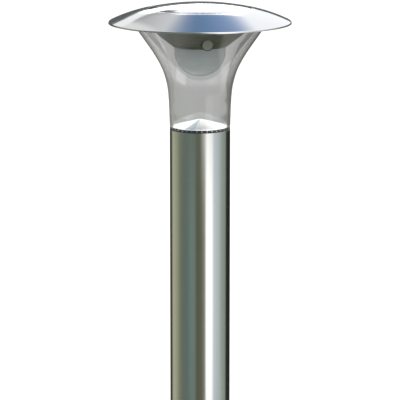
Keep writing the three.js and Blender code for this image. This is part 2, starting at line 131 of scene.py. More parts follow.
def rounded(outline, radius, least_turn=20):
    """The closed outline with small arcs where it turns by least_turn degrees or more."""
    steps = 4
    points = [Vector(p) for p in outline]
    made = []
    for i, here in enumerate(points):
        before = points[i - 1] - here
        after = points[(i + 1) % len(points)] - here
        on_axis = abs(here.x) < 1e-9
        turn = 180 - math.degrees(before.angle(after, math.pi))
        if on_axis or turn < least_turn:
            made.append(tuple(here))
            continue
        reach = min(radius, before.length * 0.45, after.length * 0.45)
        start = here + before.normalized() * reach
        end = here + after.normalized() * reach
        for step in range(steps + 1):
            t = step / steps
            made.append(tuple(start * (1 - t) ** 2 + here * (2 * t * (1 - t)) + end * t**2))
    return made


def spline(points):
    """A smooth curve through the points."""
    per_span = 10
    found = []
    for i in range(len(points) - 1):
        corners = [Vector(points[max(0, min(len(points) - 1, i + k))]) for k in (-1, 0, 1, 2)]
        before, start, end, after = corners
        for step in range(per_span):
            t = step / per_span
            leave = (end - before) * 0.5
            arrive = (after - start) * 0.5
            place = (
                start * (2 * t**3 - 3 * t**2 + 1)
                + leave * (t**3 - 2 * t**2 + t)
                + end * (-2 * t**3 + 3 * t**2)
                + arrive * (t**3 - t**2)
            )
            found.append(tuple(place))
    found.append(tuple(points[-1]))
    return found


def on_circle(radius, count, first):
    """count places evenly spaced on a circle, the first at the given angle in degrees."""
    angles = [math.radians(first + 360 * i / count) for i in range(count)]
    return [(radius * math.cos(a), radius * math.sin(a)) for a in angles]


# Places of the screws through the housing's flange and of those up into the panel's tray.
HOUSING_SCREWS = on_circle(48.6, 4, 45)
TRAY_SCREWS = on_circle(32.8, 3, 90)


# ---------------- meshes
def mesh_of(vertices, faces):
    """A bmesh in metres from vertices in millimetres, with its faces pointing out."""
    bm = bmesh.new()
    made = [bm.verts.new(Vector(v) * MM) for v in vertices]
    for face in faces:
        bm.faces.new([made[i] for i in face])
    bmesh.ops.remove_doubles(bm, verts=bm.verts, dist=1e-7)
    bmesh.ops.recalc_face_normals(bm, faces=bm.faces)
    return bm


def revolved(stations):
    """Joins outlines of (r, z), each with its angle, into one ring. Points on the axis close up."""
    vertices = []
    for angle, outline in stations:
        vertices += [(r * math.cos(angle), r * math.sin(angle), z) for r, z in outline]
    count = len(stations)
    points = len(stations[0][1])
    faces = []
    for i in range(count):
        for k in range(points):
            radii = (stations[i][1][k][0], stations[i][1][(k + 1) % points][0])
            if max(radii) < 1e-9:
                continue
            low = i * points
            high = ((i + 1) % count) * points
            after = (k + 1) % points
            corners = [low + k, high + k, high + after, low + after]
            if radii[0] < 1e-9:
                corners = [low + k, high + after, low + after]
            elif radii[1] < 1e-9:
                corners = [low + k, high + k, low + after]
            faces.append(corners)
    return mesh_of(vertices, faces)


def turned(outline, sides=FINE):
    return revolved([(2 * math.pi * i / sides, outline) for i in range(sides)])


def soft(outline, edge, sides=FINE):
    """Turns the outline, with round edges."""
    return turned(rounded(outline, edge), sides)


def rod(radius, low, high, edge=0.0, sides=SMALL):
    """A round bar on the z axis, with round edges if asked."""
    outline = [(0, low), (radius, low), (radius, high), (0, high)]
    return soft(outline, edge, sides) if edge else turned(outline, sides)


def rods(places, *size):
    """The same round bar at each of the places."""
    return [moved(rod(*size), shift(x, y)) for x, y in places]


def prism(outline, low, high):
    """Extrudes an outline of (x, y) upwards."""
    count = len(outline)
    vertices = [(x, y, low) for x, y in outline] + [(x, y, high) for x, y in outline]
    sides = [[i, (i + 1) % count, count + (i + 1) % count, count + i] for i in range(count)]
    return mesh_of(vertices, [list(range(count))[::-1], list(range(count, 2 * count))] + sides)


def block(low, high, bevel=0.0):
    """A box between two corners, with small round edges if asked."""
    (x0, y0, z0), (x1, y1, z1) = low, high
    bm = prism([(x0, y0), (x1, y0), (x1, y1), (x0, y1)], z0, z1)
    if bevel:
        bmesh.ops.bevel(
            bm, geom=bm.edges[:], offset=bevel * MM, segments=3, profile=0.5, affect="EDGES"
        )
    return bm


def lofted(rings):
    """Skins closed rings of points, with a flat cap at each end."""
    count = len(rings[0])
    vertices = [p for ring in rings for p in ring]
    faces = [list(range(count))[::-1]]
    for i in range(len(rings) - 1):
        low = i * count
        for k in range(count):
            after = (k + 1) % count
            faces.append([low + k, low + after, low + count + after, low + count + k])
    faces.append(list(range(len(vertices) - count, len(vertices))))
    return mesh_of(vertices, faces)


def tube(points, radius):
    """A round wire along the points, with a flat end at each side."""
    path = [Vector(p) for p in points]
    across = None
    rings = []
    for i, here in enumerate(path):
        along = (path[min(i + 1, len(path) - 1)] - path[max(i - 1, 0)]).normalized()
        if across is None:
            across = along.orthogonal().normalized()
        across = (across - along * across.dot(along)).normalized()
        other = along.cross(across)
        angles = [2 * math.pi * k / WIRE_SIDES for k in range(WIRE_SIDES)]
        rings.append(
            [here + (across * math.cos(a) + other * math.sin(a)) * radius for a in angles]
        )
    return lofted(rings)


def coil(radius, low, high):
    """Points of a spring of three turns about +Z."""
    turns, per_turn = 3, 32
    count = turns * per_turn
    angles = [2 * math.pi * i / per_turn for i in range(count + 1)]
    return [
        (radius * math.cos(a), radius * math.sin(a), low + (high - low) * i / count)
        for i, a in enumerate(angles)
    ]


def moved(bm, *steps):
    """Turns or shifts a mesh: each step is a matrix, applied in order."""
    for step in steps:
        bm.transform(step)
    return bm


def shift(x=0.0, y=0.0, z=0.0):
    """A move by lengths in millimetres."""
    return Matrix.Translation(Vector((x, y, z)) * MM)


def turn(degrees, axis):
    return Matrix.Rotation(math.radians(degrees), 4, axis)


def placed(name, data):
    """A new object in the scene."""
    made = bpy.data.objects.new(name, data)
    bpy.context.scene.collection.objects.link(made)
    return made


def object_of(name, bm):
    """An object with the mesh, which is used up."""
    data = bpy.data.meshes.new(name)
    bm.to_mesh(data)
    bm.free()
    return placed(name, data)


def whole(bm, others, operation):
    """The mesh with the others cut out of it or joined to it."""
    made = [object_of("work", part) for part in (bm, *others)]
    body = made[0]
    for tool in made[1:]:
        step = body.modifiers.new("work", "BOOLEAN")
        step.operation = operation
        step.solver = "EXACT"
        step.object = tool
    seen = body.evaluated_get(bpy.context.evaluated_depsgraph_get())
    result = bmesh.new()
    result.from_mesh(seen.to_mesh())
    seen.to_mesh_clear()
    for part in made:
        data = part.data
        bpy.data.objects.remove(part)
        bpy.data.meshes.remove(data)
    return result


def cut(bm, *tools):
    return whole(bm, tools, "DIFFERENCE")


def joined(bm, *parts):
    return whole(bm, parts, "UNION")


def add_piece(name, bm, body, slot, *nodes):
    """Makes the mesh a piece that rides on a body and stands for the CAD nodes."""
    piece = object_of(name, bm)
    data = piece.data
    data.polygons.foreach_set("use_smooth", [True] * len(data.polygons))
    data.set_sharp_from_angle(angle=math.radians(SHARP_ANGLE))
    data.materials.append(LOOKS[slot])
    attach(piece, body)
    if nodes:
        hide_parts(*nodes)
    return piece


# ---------------- nodes
def rgba(color):
    """A colour with its alpha. A grey may be given as one number, and a socket stays as it is."""
    if isinstance(color, bpy.types.NodeSocket):
        return color
    parts = color if isinstance(color, tuple) else (color, color, color)
    return (*parts, 1)


class Nodes:
    """Short ways to add nodes to a tree. They start from place, a position or a direction."""

    def __init__(self, tree, coordinate):
        self.nodes = tree.nodes
        self.links = tree.links
        self.place = self.nodes.new("ShaderNodeTexCoord").outputs[coordinate]

    def node(self, kind, inputs=(), **settings):
        made = self.nodes.new(kind)
        for key, value in settings.items():
            setattr(made, key, value)
        for key, value in dict(inputs).items():
            if isinstance(value, bpy.types.NodeSocket):
                self.links.new(value, made.inputs[key])
            else:
                made.inputs[key].default_value = value
        return made

    def math(self, operation, first, second=0.0, third=0.0):
        made = self.node("ShaderNodeMath", {0: first, 1: second, 2: third}, operation=operation)
        return made.outputs[0]

    def times(self, first, *others):
        for other in others:
            first = self.math("MULTIPLY", first, other)
        return first

    def stretched(self, scale):
        """The place, scaled differently along each axis."""
        made = self.node("ShaderNodeVectorMath", {0: self.place, 1: scale}, operation="MULTIPLY")
        return made.outputs[0]

    def noise(self, scale, detail=3.0, stretch=None, roughness=0.55):
        place = self.stretched(stretch) if stretch else self.place
        values = {"Vector": place, "Scale": scale, "Detail": detail, "Roughness": roughness}
        return self.node("ShaderNodeTexNoise", values).outputs["Fac"]

    def along(self, axis):
        return self.node("ShaderNodeSeparateXYZ", {"Vector": self.place}).outputs[axis]

    def between(self, value, low, high):
        """Remaps a 0 to 1 value to a range."""
        made = self.node("ShaderNodeMapRange", {"Value": value, "To Min": low, "To Max": high})
        return made.outputs["Result"]

    def blend(self, share, first, second):
        """A colour between two, by a share from 0 to 1."""
        values = {0: share, 6: rgba(first), 7: rgba(second)}
        return self.node("ShaderNodeMix", values, data_type="RGBA").outputs[2]

    def ramp(self, value, stops):
        """A colour ramp from a list of (place, colour)."""
        made = self.node("ShaderNodeValToRGB", {"Fac": value})
        elements = made.color_ramp.elements
        while len(elements) < len(stops):
            elements.new(0.5)
        for element, (place, color) in zip(elements, stops):
            element.position = place
            element.color = rgba(color)
        return made.outputs["Color"]

    def red(self, color):
        """The red part of a colour. For a grey this is its brightness."""
        return self.node("ShaderNodeSeparateColor", {"Color": color}).outputs[0]


class Look(Nodes):
    """A material with a Principled shader and the nodes that drive it."""

    def __init__(self, name, color, roughness, metallic=0.0, **sockets):
        self.material = bpy.data.materials.new(name)
        self.material.use_nodes = True
        super().__init__(self.material.node_tree, "Object")
        self.shader = self.nodes["Principled BSDF"]
        self.color = color
        self.shader.inputs["Base Color"].default_value = rgba(color)
        self.shader.inputs["Roughness"].default_value = roughness
        self.shader.inputs["Metallic"].default_value = metallic
        for label, value in sockets.items():
            self.shader.inputs[label.replace("_", " ")].default_value = value

    def drive(self, socket, value):
        self.links.new(value, self.shader.inputs[socket])

    def paint(self, share, first, second):
        """The surface's colour, between two by a share from 0 to 1."""
        self.drive("Base Color", self.blend(share, first, second))

    def gloss(self, share, low, high):
        """The surface's roughness, between two by a share from 0 to 1."""
        self.drive("Roughness", self.between(share, low, high))

    def vary(self, share, spread):
        """Lets the colour drift a little lighter and darker."""
        low = tuple(c * (1 - spread) for c in self.color)
        high = tuple(min(1.0, c * (1 + spread)) for c in self.color)
        self.paint(share, low, high)

    def bump(self, height, distance, strength):
        values = {"Height": height, "Distance": distance * MM, "Strength": strength}
        previous = self.shader.inputs["Normal"].links
        if previous:
            values["Normal"] = previous[0].from_socket
        self.drive("Normal", self.node("ShaderNodeBump", values).outputs["Normal"])

    def radius(self):
        """Distance from the piece's vertical axis, in metres."""
        flat = self.stretched((1, 1, 0))
        return self.node("ShaderNodeVectorMath", {0: flat}, operation="LENGTH").outputs["Value"]

    def run_lines_round(self):
        """Lets a brushed surface smear its reflections round the axis."""
        self.drive("Tangent", self.node("ShaderNodeTangent", axis="Z").outputs["Tangent"])


def plastic(name, color, roughness, grain=2600, depth=0.02, **sockets):
    """Moulded plastic: fine grain, soft patches in its gloss and a faint drift of colour."""
    look = Look(name, color, roughness, **sockets)
    patches = look.noise(45, detail=4)
    look.vary(patches, 0.14)
    look.gloss(patches, roughness - 0.06, roughness + 0.08)
    look.bump(look.noise(grain, detail=2), depth, 0.5)
    return look.material


def turned_metal(name, color, roughness, line_pitch=0.35, depth=0.004, spun=False, **sockets):
    """Metal finished on a lathe, with fine rings and with smears in its polish."""
    look = Look(name, color, roughness, metallic=1.0, **sockets)
    if spun:
        rings = look.node("ShaderNodeCombineXYZ", {"X": look.radius()}).outputs["Vector"]
    else:
        rings = look.stretched((0.02, 0.02, 1))
    lines = look.node(
        "ShaderNodeTexNoise",
        {"Vector": rings, "Scale": 1000 / line_pitch, "Detail": 4, "Roughness": 0.7},
    ).outputs["Fac"]
    smears = look.noise(22, detail=5, roughness=0.6)
    look.vary(look.times(lines, smears), 0.05)
    worn = look.math("ADD", look.times(lines, 0.35), look.times(smears, 0.65))
    look.gloss(worn, roughness * 0.7, roughness * 1.35)
    look.bump(lines, depth, 0.6)
    return look


def clear(name, tint, roughness, ior, wave_depth=0.012, **sockets):
    """Clear moulded plastic. Lamps and diffuse light pass straight through it."""
    look = Look(name, tint, roughness, Transmission_Weight=1.0, IOR=ior, **sockets)
    look.bump(look.noise(60, detail=2), wave_depth, 0.35)
    streaks = look.noise(9, stretch=(1, 1, 0.25))
    look.gloss(streaks, roughness * 0.5, roughness * 1.6)
    path = look.node("ShaderNodeLightPath")
    passing = look.math("MAXIMUM", path.outputs["Is Shadow Ray"], path.outputs["Is Diffuse Ray"])
    through = look.node("ShaderNodeBsdfTransparent", {"Color": rgba(tint)})
    mixed = look.node(
        "ShaderNodeMixShader",
        {0: passing, 1: look.shader.outputs["BSDF"], 2: through.outputs["BSDF"]},
    )
    look.links.new(mixed.outputs["Shader"], look.nodes["Material Output"].inputs["Surface"])
    return look.material


# ---------------- materials
def tube_steel():
    look = turned_metal(
        "brushed_steel", (0.74, 0.74, 0.72), 0.13, Anisotropic=0.55, Anisotropic_Rotation=0.25
    )
    look.run_lines_round()
    return look.material


def dome_steel():
    look = turned_metal(
        "polished_steel", (0.78, 0.785, 0.79), 0.09, depth=0.0012, spun=True, Anisotropic=0.3
    )
    look.run_lines_round()
    return look.material


# Share of the painted reflection, grey-blue streaks round the reflector, by the turn about its axis.
PAINTED_REFLECTION_STREAKS = [
    (0.0, 0), (0.12, 0), (0.15, 0.7), (0.175, 0.7), (0.2, 0), (0.55, 0), (0.6, 0.35), (0.64, 0),
    (1.0, 0),
]


def reflector_finish():
    """Bright satin finish with soft streaks that run from the tip to the edge. Two grey-blue streaks in
    its colour are a painted reflection, and the flange's edge above the keys is painted near-black as
    shade.
    """
    look = Look("satin_reflector", (0.95, 0.96, 0.97), 0.24, metallic=0.65)
    angle = look.math("ARCTAN2", look.along("Y"), look.along("X"))
    share = look.math("MULTIPLY_ADD", angle, 1 / (2 * math.pi), 0.5)
    streaks = look.node(
        "ShaderNodeTexNoise", {"W": share, "Scale": 26, "Detail": 3}, noise_dimensions="1D"
    ).outputs["Fac"]
    body = look.blend(streaks, (0.92, 0.94, 0.96), (0.98, 0.98, 0.98))
    # Painted reflection: grey-blue streaks mixed into the colour by the turn about the axis.
    face = look.blend(look.red(look.ramp(share, PAINTED_REFLECTION_STREAKS)), body, (0.33, 0.42, 0.5))
    # Painted shade: beyond this radius and above the keys, the flange's edge is coloured near-black.
    outside = look.math("GREATER_THAN", look.radius(), FLANGE_SHADE_RADIUS * MM)
    above_keys = look.math("GREATER_THAN", look.along("Z"), (SOCKET_TOP + GAP - 0.02) * MM)
    painted_shade_rim = look.times(outside, above_keys)
    look.paint(painted_shade_rim, face, (0.03, 0.035, 0.05))
    look.gloss(streaks, 0.2, 0.4)
    look.bump(streaks, 0.05, 0.4)
    return look.material


def housing_plastic():
    """Semi-gloss dark plastic with faint turned rings."""
    look = Look("olive_plastic", (0.04, 0.043, 0.024), 0.3)
    rings = look.noise(900, stretch=(0.02, 0.02, 1))
    patches = look.noise(30, detail=4)
    look.paint(rings, (0.009, 0.012, 0.002), (0.034, 0.042, 0.011))
    look.gloss(patches, 0.22, 0.42)
    look.bump(rings, 0.02, 0.5)
    return look.material


def frosted_plastic():
    """Translucent bowl: etched surface, a little cloudy inside."""
    look = Look(
        "frosted_bowl", (0.39, 0.43, 0.43), 0.2, Transmission_Weight=0.35, IOR=1.45,
        Subsurface_Weight=0.2, Subsurface_Scale=0.004,
    )
    clouds = look.noise(70, detail=4)
    level = look.noise(160, stretch=(0.12, 0.12, 1))
    look.vary(look.math("MULTIPLY_ADD", level, 0.7, look.times(clouds, 0.3)), 0.2)
    look.gloss(clouds, 0.12, 0.28)
    look.bump(level, 0.12, 0.5)
    look.bump(look.noise(3200, detail=2), 0.008, 0.4)
    return look.material


def silicon():
    """Blue-black cell with crystal patches and fine silver fingers."""
    look = Look(
        "solar_silicon", (0.012, 0.02, 0.075), 0.22, Coat_Weight=0.2, Coat_Roughness=0.1,
        Specular_IOR_Level=0.2,
    )
    crystals = look.node("ShaderNodeTexVoronoi", {"Vector": look.place, "Scale": 260})
    shade = look.red(crystals.outputs["Color"])
    body = look.blend(shade, (0.008, 0.012, 0.045), (0.02, 0.035, 0.12))
    pitch, half_width = 2.0 * MM, 0.055 * MM
    finger = look.math("LESS_THAN", look.math("PINGPONG", look.along("Y"), pitch / 2), half_width)
    look.paint(finger, body, (0.6, 0.61, 0.62))
    look.drive("Metallic", finger)
    look.gloss(shade, 0.15, 0.32)
    look.bump(finger, 0.02, 0.4)
    return look.material


def board(name, color):
    """Solder-masked board with faint copper tracks under the mask."""
    look = Look(name, color, 0.35, Coat_Weight=0.3)
    cells = look.node(
        "ShaderNodeTexVoronoi", {"Vector": look.place, "Scale": 420}, distance="MANHATTAN"
    )
    tracks = look.math("LESS_THAN", cells.outputs["Distance"], 0.32)
    lighter = tuple(min(1.0, c * 1.5 + 0.01) for c in color)
    look.paint(tracks, color, lighter)
    look.gloss(look.noise(300), 0.3, 0.45)
    look.bump(tracks, 0.03, 0.5)
    return look.material


def rubber():
    look = Look("black_rubber", (0.015, 0.015, 0.016), 0.6, Sheen_Weight=0.15, Sheen_Roughness=0.4)
    dust = look.noise(160, detail=5)
    look.paint(dust, (0.01, 0.01, 0.011), (0.03, 0.03, 0.03))
    look.gloss(dust, 0.5, 0.75)
    look.bump(look.noise(1500), 0.02, 0.5)
    return look.material


def cell_wrap():
    """Shrink sleeve: green body with a plain silver band."""
    look = Look("cell_wrap", (0.04, 0.2, 0.09), 0.3, Coat_Weight=0.4)
    band_start = 12 * MM
    band = look.math("GREATER_THAN", look.along("X"), band_start)
    folds = look.noise(90, detail=4, stretch=(0.3, 1, 1))
    body = look.blend(folds, (0.03, 0.16, 0.07), (0.05, 0.24, 0.11))
    look.paint(band, body, (0.5, 0.51, 0.5))
    look.gloss(folds, 0.22, 0.4)
    look.bump(folds, 0.05, 0.4)
    return look.material


def insulation(name, color):
    return plastic(name, color, 0.35, grain=1800, depth=0.01, Coat_Weight=0.2)


LOOKS = {
    "brushed_steel": tube_steel(),
    "polished_steel": dome_steel(),
    "satin_reflector": reflector_finish(),
    "zinc_screw": turned_metal("zinc_screw", (0.6, 0.6, 0.58), 0.32, line_pitch=0.2).material,
    "contact_metal": turned_metal("contact_metal", (0.66, 0.65, 0.62), 0.25).material,
    "clear_lens": clear("clear_lens", (0.93, 0.935, 0.93), 0.02, 1.49),
    "panel_cover": clear(
        "panel_cover", (0.96, 0.97, 0.98), 0.04, 1.6, wave_depth=0.004, Coat_Weight=1.0,
        Coat_IOR=1.7, Coat_Roughness=0.03,
    ),
    "frosted_bowl": frosted_plastic(),
    "led_clear": plastic("led_clear", (0.85, 0.84, 0.76), 0.12, Transmission_Weight=0.5),
    "black_plastic": plastic("black_plastic", (0.018, 0.018, 0.02), 0.45),
    "olive_plastic": housing_plastic(),
    "grey_plastic": plastic("grey_plastic", (0.09, 0.095, 0.1), 0.48),
    "button_plastic": plastic("button_plastic", (0.2, 0.22, 0.165), 0.42),
    "black_rubber": rubber(),
    "solar_silicon": silicon(),
    "board_green": board("board_green", (0.02, 0.12, 0.05)),
    "board_white": board("board_white", (0.7, 0.7, 0.68)),
    "cell_wrap": cell_wrap(),
    "chip_black": plastic("chip_black", (0.012, 0.012, 0.012), 0.4, grain=3600),
    "coil_teal": plastic("coil_teal", (0.1, 0.3, 0.2), 0.3),
    "wire_red": insulation("wire_red", (0.35, 0.02, 0.02)),
    "wire_black": insulation("wire_black", (0.015, 0.015, 0.015)),
}
SLOT_OF = {part["node"]: part["material_slot"] for part in frame["record"]["subparts"]}
for node, part in frame["nodes"].items():
    part.data.materials.clear()
    part.data.materials.append(LOOKS[SLOT_OF[node]])


def stand_in(node, bm, body):
    """The fine piece that stands for one CAD node, with that node's look."""
    return add_piece(f"{node}_skin", bm, body, SLOT_OF[node], node)


# ---------------- post and ground spike
SPIGOT_RADIUS = 14


def spike_ring(z, reach, half):
    """The outline of four crossed blades at one height, with round blade edges."""
    edge = min(half * 0.9, reach * 0.45)
    middle = reach - edge
    angles = [math.radians(a) for a in (-90, -55, -20, 20, 55, 90)]
    tip = [(middle + edge * math.cos(a), half * math.sin(a)) for a in angles]
    root = [(half * 1.5, half), (half * 1.12, half * 1.12), (half, half * 1.5)]
    outline = []
    for quarter in range(4):
        c, s = math.cos(quarter * math.pi / 2), math.sin(quarter * math.pi / 2)
        outline += [(x * c - y * s, x * s + y * c, z) for x, y in tip + root]
    return outline


def ground_spike():
    flange_radius = highest("ground_spike", 0)
    spigot_top = highest("ground_spike")
    stations = [
        (2.4, 21.9, 2.0), (0.5, 21.9, 2.0), (-22, 18.9, 2.0), (-60, 14.9, 2.0), (-110, 9.5, 2.0),
        (-140, 6.2, 1.95), (-157, 4.2, 1.9), (-164, 2.9, 1.4), (SPIKE_TIP, 0.6, 0.3),
    ]
    blades = lofted([spike_ring(*station) for station in stations])
    flange = soft([
        (0, 0), (flange_radius, 0), (flange_radius, 1.6), (flange_radius - 1.4, 3),
        (SPIGOT_RADIUS, 3), (SPIGOT_RADIUS, spigot_top - 2), (SPIGOT_RADIUS - 1.5, spigot_top),
        (0, spigot_top),
    ], 0.5)
    return joined(blades, flange)


def foot_plug():
    sleeve = POST_RADIUS - POST_WALL - GAP
    flange = highest("foot_plug", 0)
    low = lowest("foot_plug")
    bore = SPIGOT_RADIUS + GAP
    return soft([
        (bore, low), (flange - 1, low), (flange, low + 1), (flange, 6.6),
        (flange - 1.1, POST_FOOT - GAP), (sleeve, POST_FOOT - GAP), (sleeve, 44),
        (sleeve - 1.5, 46), (0, 46), (0, 42), (bore, 42),
    ], 0.4)


def post_tube():
    bore = POST_RADIUS - POST_WALL
    return soft([
        (bore, POST_FOOT), (POST_RADIUS, POST_FOOT), (POST_RADIUS, POST_TOP), (bore, POST_TOP),
    ], 0.3, FINER)


NOTCHES = 36
NOTCH_DEPTH = 0.5
# Along one pitch: share of the pitch and how deep the socket's edge is cut.
NOTCH_STATIONS = [(0.0, NOTCH_DEPTH), (0.34, NOTCH_DEPTH), (0.38, 0.0), (0.67, 0.0), (0.96, 0.0)]
# Along one pitch: share of the pitch and how far the reflector's key hangs into the notch.
KEY_STATIONS = [
    (0.0, 0.0), (0.05, 0.0), (0.08, 0.55), (0.16, 0.55), (0.26, 0.55), (0.29, 0.0), (0.5, 0.0),
    (0.75, 0.0),
]


def notched(stations, outline_at):
    """A ring that repeats its stations at every pitch, with the outline that each depth gives."""
    return revolved([
        (2 * math.pi * (i + share) / NOTCHES, outline_at(depth))
        for i in range(NOTCHES)
        for share, depth in stations
    ])


def lens_socket():
    """Sleeve with a thin flange that has notches all round its upper edge."""
    sleeve = POST_RADIUS - POST_WALL - GAP
    bore = SKIRT_RADIUS + GAP
    flange = highest("lens_socket", 0)
    foot = POST_TOP - 28
    low = POST_TOP + GAP
    high = SOCKET_TOP

    def outline_at(depth):
        crown = high - depth
        return [
            (bore, foot), (sleeve - 0.5, foot), (sleeve, foot + 0.5), (sleeve, low),
            (flange - 0.1, low), (flange, low + 0.1), (flange, crown - 0.1), (flange - 0.1, crown),
            (flange - 0.8, crown), (flange - 0.85, high), (bore, high),
        ]

    return notched(NOTCH_STATIONS, outline_at)


def trumpet_lens():
    outer = spline([
        (LENS_FOOT_RADIUS, LENS_FOOT), (25.3, RIM - 77.2), (25.8, RIM - 64.2), (27.25, RIM - 51.2),
        (31.1, RIM - 38.2), (38.1, RIM - 25.2), (47, RIM - 12.2), (54.3, RIM - 1.8),
    ])
    inner = []
    for i, here in enumerate(outer):
        before = Vector(outer[max(i - 1, 0)])
        after = Vector(outer[min(i + 1, len(outer) - 1)])
        along = (after - before).normalized()
        inner.append((here[0] - LENS_WALL * along.y, here[1] + LENS_WALL * along.x))
    high = highest("trumpet_lens")
    inside = [p for p in inner if LENS_FOOT + 1 < p[1] < high - 1.5]
    return soft([
        (LENS_FOOT_RADIUS - LENS_WALL, LENS_FOOT), *outer, (LENS_MOUTH_RADIUS, RIM - 1.4),
        (LENS_MOUTH_RADIUS, high), (52, high), *inside[::-1],
    ], 0.4, FINER)


def reflector_cone():
    """Cone with a small round tip, over a collar, a thin flange and the skirt that plugs in."""
    collar = LENS_FOOT_RADIUS - LENS_WALL - 0.35
    flange = highest("reflector_cone", 0)
    flange_high = LENS_FOOT - GAP
    flange_low = SOCKET_TOP + GAP
    skirt_end = lowest("reflector_cone")
    bore = SKIRT_RADIUS - 1.4
    slope = (CONE_TOP - CONE_EDGE) / collar
    tip = [(0, CONE_TOP - 0.06), (0.4, CONE_TOP - 0.12), (1.0, CONE_TOP - slope - 0.02)]
    body = rounded([
        (1.6, CONE_TOP - 1.6 * slope), (collar, CONE_EDGE), (collar, flange_high),
        (flange, flange_high), (flange, flange_low), (SKIRT_RADIUS, flange_low),
        (SKIRT_RADIUS, skirt_end), (bore, skirt_end), (bore, CONE_EDGE - 1),
    ], 0.12)
    split = next(i for i, (r, z) in enumerate(body) if z <= flange_low + 0.01)
    under = [p for p in body[split:] if p[0] < flange - 0.7]

    def outline_at(depth):
        foot = flange_low - depth
        key = [
            (flange, foot), (flange - 0.05, foot - 0.05), (flange - 0.6, foot - 0.05),
            (flange - 0.65, flange_low),
        ]
        return [*tip, *body[:split], *key, *under, (0, CONE_TOP - 1.4)]

    return notched(KEY_STATIONS, outline_at)


for make in (ground_spike, foot_plug, post_tube, lens_socket, trumpet_lens, reflector_cone):
    stand_in(make.__name__, make(), "post")


# ---------------- head, drawn from its rim plane
def head_piece(node, bm, body="head"):
    return stand_in(node, moved(bm, shift(z=RIM)), body)


def head_pieces(*makers):
    """Makes pieces with functions that are named after their nodes."""
    for make in makers:
        head_piece(make.__name__, make())


def lens_seal():
    """Silicone ring with two round sealing beads on top."""
    beads = []
    for centre in (54.0, 55.8):
        beads += arc(centre, 1.35, 0.42, 180, 0, 8)
    ring = rounded([(57.2, 0.7), (57, 0.6), (52.8, 0.6), (52.6, 0.7), (52.6, 1.35)], 0.1)
    return turned([*ring, *beads, (57.2, 1.35)])


def cap_dome():
    """Spun sheet: a shallow arc, an edge rolled down and a step that holds the panel."""
    roll = 1.6
    roll_end = -12  # degrees above level, where the rolled edge stops
    low_slope, edge_slope = DOME_SLOPES
    sines = [math.sin(math.radians(s)) for s in DOME_SLOPES]
    start = STEP_RADIUS + 0.6
    end = DOME_RADIUS - roll * (1 - sines[1])
    radius = (end - start) / (sines[1] - sines[0])
    centre_r = start - radius * sines[0]
    centre_z = STEP_HIGH - radius * math.cos(math.radians(low_slope))

    def shell(inset):
        return arc(centre_r, centre_z, radius - inset, 90 - low_slope, 90 - edge_slope, 44)

    middle = shell(roll)[-1]
    outer_roll = arc(*middle, roll, 90 - edge_slope, roll_end, 14)
    inner_roll = arc(*middle, roll - DOME_SHEET, roll_end, 90 - edge_slope, 8)
    seat_low = SEAT_HIGH - DOME_SHEET
    hole = 36.3
    return turned(rounded([
        (hole, SEAT_HIGH), (STEP_IN - 0.05, SEAT_HIGH), (STEP_IN, STEP_HIGH),
        (STEP_IN + 0.1, STEP_HIGH + 0.14), *shell(0)[:-1], *outer_roll, *inner_roll,
        *shell(DOME_SHEET)[:-1][::-1], (STEP_RADIUS + 0.8, STEP_HIGH - 1),
        (STEP_RADIUS + 0.8, seat_low), (hole, seat_low),
    ], 0.12, least_turn=25), FINEST)


def crown(top, reach, steps):
    """Outline of a shallow sphere from its crown out to a radius."""
    radii = [reach * i / steps for i in range(steps + 1)]
    return [(r, top - COVER_CURVE + math.sqrt(COVER_CURVE**2 - r**2)) for r in radii]


def solar_cover():
    groove_out, groove_in, groove_high = 40.6, 35.2, 11.2
    foot = TRAY_FLANGE_HIGH + GAP
    return soft([
        *crown(COVER_CROWN, COVER_RADIUS, 40), (COVER_RADIUS, foot), (groove_out, foot),
        (groove_out, groove_high), (groove_in, groove_high),
        *crown(COVER_CROWN - 2, groove_in, 32)[::-1],
    ], 0.12, FINEST)


def panel_tray():
    dish = 35.6
    floor_low = CELLS_HIGH - 3.8
    floor_high = floor_low + 1.5
    body = soft([
        (0, floor_low), (dish, floor_low), (dish, TRAY_FLANGE_LOW), (COVER_RADIUS, TRAY_FLANGE_LOW),
        (COVER_RADIUS, TRAY_FLANGE_HIGH), (34.5, TRAY_FLANGE_HIGH), (34.5, floor_high),
        (0, floor_high),
    ], 0.3)
    bosses = rods(TRAY_SCREWS, 2.5, 3.9, floor_low + 0.5, 0.2)
    bores = rods(TRAY_SCREWS, 1.2, 3, floor_low + 0.8)
    lead_hole = moved(rod(3.2, floor_low - 1, floor_high + 1), shift(0, 16))
    return cut(joined(body, *bosses), *bores, lead_hole)


def panel_seal():
    low, high = TRAY_FLANGE_HIGH + GAP, TRAY_FLANGE_HIGH + 0.8
    return soft([(37, low), (40, low), (40, high), (37, high)], 0.15)


def solar_board():
    return rod(34.1, CELLS_HIGH - 2, CELLS_HIGH - 0.7, 0.1, FINE)


def half_length(x):
    """How far a solar cell reaches to the front and back at x."""
    return math.sqrt(CELLS_REACH**2 - x**2)


def cell_outline(left, right):
    """Strip with straight sides whose ends follow a circle."""
    steps = 12
    across = [left + (right - left) * i / steps for i in range(steps + 1)]
    front = [(x, -half_length(x)) for x in across]
    return front + [(x, -y) for x, y in front[::-1]]


def solar_strips():
    """Four cells, each with two flat ribbons on top."""
    low, high = CELLS_HIGH - 0.4, CELLS_HIGH
    for i in range(4):
        node = f"solar_strip_{i + 1}"
        left, right = lowest(node, 0), highest(node, 0)
        head_piece(node, prism(cell_outline(left, right), low, high))
        for k, share in enumerate((0.28, 0.72)):
            x = left + (right - left) * share
            end = half_length(x) - 1.2
            ribbon = block((x - 0.55, -end, high), (x + 0.55, end, high + 0.12), 0.04)
            ribbon = moved(ribbon, shift(z=RIM))
            add_piece(f"{node}_ribbon_{k + 1}", ribbon, "head", "contact_metal")


